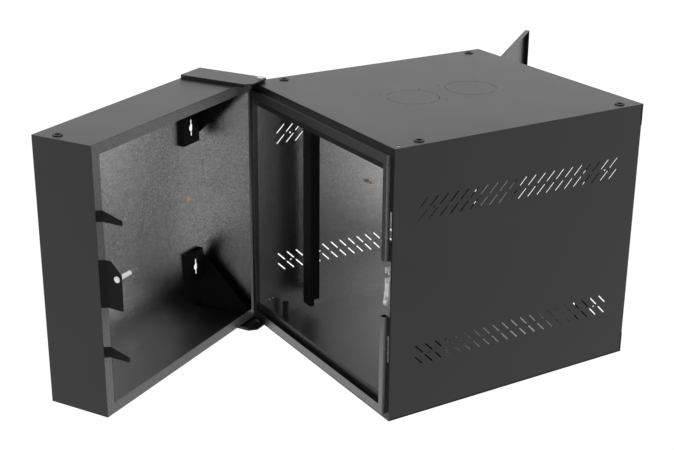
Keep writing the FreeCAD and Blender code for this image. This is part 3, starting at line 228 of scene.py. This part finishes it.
def rim_painted_sheen():
    """The rear rim's coat: all of it a glossy painted sheen of metallic grey."""
    paint = Finish("rim_painted_sheen_coat")
    return paint.surface(Base_Color=painted_sheen_flecks(paint, 0.1, 0.2), Metallic=1.0,
                         Roughness=(SATIN - PAINTED_SHEEN_GLOSS) + CLOUDING * paint.noise(CLOUD_SCALE, 3.0),
                         Normal=powder_bump(paint, 1.0))


def mottled(name, scale, tones, rough, depth, detail=3.0, crispness=0.5, rounded=0.0, **fixed):
    """A finish whose tone, gloss and relief all follow one noise. The pair rough is the least roughness
    and how much the noise adds, and fixed holds what is the same all over."""
    finish = Finish(name)
    mottle = finish.noise(scale, detail, crispness)
    least, added = rough
    return finish.surface(Base_Color=finish.mix(mottle, *tones), Roughness=least + added * mottle,
                          Normal=finish.bump(mottle, depth, rounded=rounded), **fixed)


FINISHES = {
    "casing": powder_coat("black_powder_coat"),
    # Turned steel of the pivot heads, with fine turning marks.
    "bolt_steel": mottled("bright_steel", 900, ((0.62, 0.62, 0.61), (0.8, 0.8, 0.79)), rough=(0.22, 0.12),
                          depth=0.04 * MM, Metallic=1.0),
    # Oiled black of nuts and spacers.
    "dark_steel": mottled("blackened_steel", 500, ((0.008, 0.008, 0.009), (0.02, 0.02, 0.021)),
                          rough=(0.34, 0.15), depth=0.05 * MM, rounded=0.4 * MM),
    # Plain brass of the ground studs, a little dulled in its hollows.
    "brass": mottled("plain_brass", 260, ((0.95, 0.6, 0.34), (1.0, 0.76, 0.5)), rough=(0.24, 0.16),
                     depth=0.05 * MM, Metallic=0.6),
    # Moulded plastic of the plugs.
    "plug": mottled("black_plastic", 1100, ((0.007, 0.007, 0.007), (0.013, 0.013, 0.013)),
                    rough=(0.42, 0.12), depth=0.05 * MM, detail=2.0, IOR=1.46),
    # Zinc plate: pale and faintly mottled.
    "zinc": mottled("zinc_plate", 150, ((0.88, 0.88, 0.89), (0.96, 0.96, 0.97)), rough=(0.3, 0.2),
                    depth=0.06 * MM, detail=4.0, crispness=0.6, rounded=0.3 * MM, Metallic=0.1),
    # Yellow passivated zinc of the claw.
    "claw": mottled("yellow_zinc", 120, ((0.86, 0.78, 0.6), (0.95, 0.88, 0.72)), rough=(0.3, 0.2),
                    depth=0.06 * MM, detail=4.0, crispness=0.6, rounded=0.3 * MM, Metallic=0.1),
    # Moulded plastic of the release roller.
    "roller": mottled("white_plastic", 300, ((0.76, 0.76, 0.75), (0.84, 0.84, 0.83)), rough=(0.35, 0.1),
                      depth=0.04 * MM, detail=2.0),
    # Blued spring wire.
    "spring": mottled("blued_wire", 200, ((0.22, 0.36, 0.5), (0.4, 0.55, 0.68)), rough=(0.25, 0.15),
                      depth=0.03 * MM, Metallic=1.0),
    # Chromed lock, with a brushed face.
    "lock_metal": mottled("lock_chrome", 700, ((0.6, 0.6, 0.61), (0.72, 0.72, 0.73)), rough=(0.12, 0.16),
                          depth=0.03 * MM, detail=2.0, rounded=0.3 * MM, Metallic=1.0),
}
# The thin flat coat of the rails and inner brackets: black, with little gloss.
DULL = mottled("dull_black", 700, ((0.003, 0.003, 0.003), (0.006, 0.006, 0.006)), rough=(0.5, 0.1),
               depth=0.08 * MM, crispness=0.6, rounded=0.5 * MM, IOR=1.22)

# How far the boxes of the painted sheen stand in from the outer faces, and from those of the cabinet's sides.
SKIN = 0.8 * MM
SIDE_SKIN = 2 * MM


def turned_box(turn, low, high):
    """The middle and half sizes of a box given by two corners in the turned directions."""
    return turn, [(a + b) / 2 for a, b in zip(low, high)], [abs(a - b) / 2 for a, b in zip(low, high)]


def cabinet_box():
    """The space between the inner faces of the cabinet's sheets, in its own directions."""
    spots = [v.co for v in nodes["cabinet_top"].data.vertices]
    low = [min(p.dot(d) for p in spots) for d in (ACROSS, -FORWARD)]
    high = [max(p.dot(d) for p in spots) for d in (ACROSS, -FORWARD)]
    top = max(p.z for p in spots)
    return turned_box(SWING, (low[0] + SIDE_SKIN, low[1] + SKIN, -top + SKIN),
                      (high[0] - SIDE_SKIN, high[1] - SKIN, top - SKIN))


def wall_box():
    """The inside of the wall section without and with its front lips, in the frame's own directions."""
    low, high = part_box("wall_box_shell")
    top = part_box("wall_box_top")[1].z
    return [turned_box(0.0, (low.x + SKIN, front, -top + SKIN), (high.x - SKIN, high.y - SKIN, top - SKIN))
            for front in (low.y + SKIN, low.y - SKIN)]


WALL_INSIDE, WALL_WITH_LIPS = wall_box()
# The rear rim, and the inner faces of the cabinet and the wall section, carry a painted sheen
SHEETS = {"rear_rim": rim_painted_sheen()}
for coat, names in (
        (powder_coat("cabinet_coat_and_painted_sheen", cabinet_box(), sheen=0.44),
         ("cabinet_top", "cabinet_bottom", "hinge_side_panel", "latch_side_panel")),
        (powder_coat("wall_coat_and_painted_sheen", WALL_INSIDE, sheen=0.47, lips=WALL_WITH_LIPS),
         ("wall_box_shell", "wall_box_top", "wall_box_bottom")),
        (DULL,
         ("rear_rail_hinge_side", "rear_rail_latch_side", "front_rail_hinge_side", "front_rail_latch_side",
          "upper_guide_tab", "lower_guide_tab", "latch_bracket", "upper_right_gusset", "lower_right_gusset",
          "upper_right_mount_bracket", "upper_left_mount_bracket", "lower_right_mount_bracket",
          "lower_left_mount_bracket"))):
    SHEETS.update((name, coat) for name in names)
for part in frame["record"]["subparts"]:
    node = nodes[part["node"]]
    if not node.material_slots:
        node.data.materials.append(None)
    for place in node.material_slots:
        place.material = SHEETS.get(part["node"], FINISHES[part["material_slot"]])


# ---------------------------------------------------------------- fine pieces

def line_of(spots):
    """The two ends of a long straight solid: the mean points of its two outermost groups of corners."""
    first = max(spots, key=lambda p: (p - spots[0]).length)
    last = max(spots, key=lambda p: (p - first).length)
    reach = (last - first).length
    ahead = (last - first).normalized()
    near = 0.3 * reach
    ends = []
    for at in (0.0, reach):
        group = [p for p in spots if abs((p - first).dot(ahead) - at) < near]
        ends.append(sum(group, Vector()) / len(group))
    return ends


def coil_spring():
    """The latch spring as a close coil, in place of its plain rod."""
    turns, steps = 11, 16
    wire_share = 0.18
    spots = [v.co.copy() for v in nodes["latch_spring"].data.vertices]
    start, end = line_of(spots)
    ahead = (end - start).normalized()
    side = ahead.cross(Vector((0, 0, 1))).normalized()
    over = ahead.cross(side)
    radius = max((p - start - ahead * (p - start).dot(ahead)).length for p in spots)
    wire = wire_share * radius
    data = bpy.data.curves.new("spring_coil", "CURVE")
    data.dimensions = "3D"
    data.bevel_depth = wire
    data.bevel_resolution = 3
    path = data.splines.new("POLY")
    last = turns * steps
    path.points.add(last)
    for i in range(last + 1):
        angle = 2 * math.pi * i / steps
        spot = start.lerp(end, i / last) + (radius - wire) * (math.cos(angle) * side + math.sin(angle) * over)
        path.points[i].co = (*spot, 1)
    coil = bpy.data.objects.new("spring_coil", data)
    scene.collection.objects.link(coil)
    data.materials.append(FINISHES["spring"])
    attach(coil, "cabinet")
    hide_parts("latch_spring")


def turned(name, profile, foot, out, steps=20):
    """A small turned piece: its (radius, height) profile goes round the axis that leaves foot along out."""
    mesh = bmesh.new()
    side = out.orthogonal().normalized()
    over = out.cross(side)
    rings = []
    for radius, height in profile:
        rings.append([mesh.verts.new(foot + height * out + radius * (math.cos(a) * side + math.sin(a) * over))
                      for a in (2 * math.pi * i / steps for i in range(steps))])
    for low, high in zip(rings, rings[1:]):
        for i in range(steps):
            j = (i + 1) % steps
            mesh.faces.new((low[i], low[j], high[j], high[i]))
    mesh.faces.new(rings[0][::-1])
    mesh.faces.new(rings[-1])
    data = bpy.data.meshes.new(name)
    mesh.to_mesh(data)
    mesh.free()
    for face in data.polygons:
        face.use_smooth = len(face.vertices) == 4
    piece = bpy.data.objects.new(name, data)
    scene.collection.objects.link(piece)
    return piece


# Pan head with a round recess: radius and height of each ring.
PAN_HEAD = [(2.9 * MM, 0.0), (2.9 * MM, 0.7 * MM), (2.5 * MM, 1.3 * MM), (1.7 * MM, 1.65 * MM),
            (1.1 * MM, 1.7 * MM), (0.9 * MM, 0.9 * MM)]
PANEL_SHEET = 1.5 * MM
# The heads' distance from the panel's ends, and for each its depth from the back and its step inwards.
HEADS_FROM_END = 42 * MM
HEAD_PLACES = (38 * MM, 0.0), (48 * MM, 2 * MM)


def panel_screws():
    """Two pan heads at each end of each side panel, near the back, which hold the rails' hangers."""
    for side, inward in (("hinge", -ACROSS), ("latch", ACROSS)):
        spots = [v.co for v in nodes[side + "_side_panel"].data.vertices]
        outer = max(-p.dot(inward) for p in spots)
        back = min(p.dot(FORWARD) for p in spots)
        top = max(p.z for p in spots)
        for end, height in ((-1, "low"), (1, "high")):
            for number, (depth, step) in enumerate(HEAD_PLACES):
                foot = inward * (PANEL_SHEET - outer) + FORWARD * (back + depth)
                foot.z = end * (top - HEADS_FROM_END - step)
                head = turned("%s_screw_%s_%d" % (side, height, number), PAN_HEAD, foot, inward)
                head.data.materials.append(FINISHES["bolt_steel"])
                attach(head, "cabinet")


coil_spring()
panel_screws()


# ---------------------------------------------------------------- studio

# The floor's own grey under the surround's light, and the glow that brings it up to white.
FLOOR_GREY = 0.4
FLOOR_GLOW = 0.64
# How far the floor lies below the cabinet, and its half width.
FLOOR_DROP = 0.9
FLOOR_REACH = 30.0


def pale_floor():
    """Matt and pale. To the camera and in reflections it is white but for the shadow."""
    pale = Finish("pale_floor")
    seen = pale.node("LightPath", output="Is Camera Ray")
    glossy = pale.node("LightPath", output="Is Glossy Ray")
    clear = pale.node("LightPath", output="Is Transmission Ray")
    share = pale.node("Math", {"operation": "MAXIMUM"}, {0: seen, 1: glossy + clear})
    matt = pale.node("BsdfDiffuse", None, {"Color": (FLOOR_GREY, FLOOR_GREY, FLOOR_GREY, 1)})
    glow = pale.node("Emission", None, {"Color": (1, 1, 1, 1), "Strength": FLOOR_GLOW * share})
    both = pale.node("AddShader", None, {0: matt, 1: glow})
    pale.node("OutputMaterial", None, {"Surface": both})
    return pale.material


def studio():
    """A plain pale floor well below the hanging cabinet, and an even white surround."""
    world = bpy.data.worlds.new("surround")
    world.use_nodes = True
    back = world.node_tree.nodes["Background"]
    back.inputs["Color"].default_value = (1, 1, 1, 1)
    back.inputs["Strength"].default_value = 1.0
    scene.world = world

    low = cad_box[0][2] - FLOOR_DROP
    corners = [(x * FLOOR_REACH, y * FLOOR_REACH, low) for x, y in ((-1, -1), (1, -1), (1, 1), (-1, 1))]
    mesh = bpy.data.meshes.new("floor")
    mesh.from_pydata(corners, [], [(0, 1, 2, 3)])
    mesh.materials.append(pale_floor())
    floor = bpy.data.objects.new("floor", mesh)
    scene.collection.objects.link(floor)


def camera():
    """The view from the latch side, a little above."""
    place = Vector((-2.21298, -1.73906, 1.07638))
    ahead = Vector((0.820675, 0.445082, -0.358323)).normalized()
    right = Vector((0.479162, -0.877697, 0.007227)).normalized()
    up = right.cross(ahead)
    data = bpy.data.cameras.new("camera")
    data.sensor_width = 36.0
    data.lens = 69.59
    data.clip_end = 200.0
    made = bpy.data.objects.new("camera", data)
    made.matrix_world = Matrix.Translation(place) @ Matrix((right, up, -ahead)).transposed().to_4x4()
    scene.collection.objects.link(made)
    scene.camera = made


studio()
camera()
scene.view_settings.view_transform = "Standard"

bpy.context.view_layer.update()
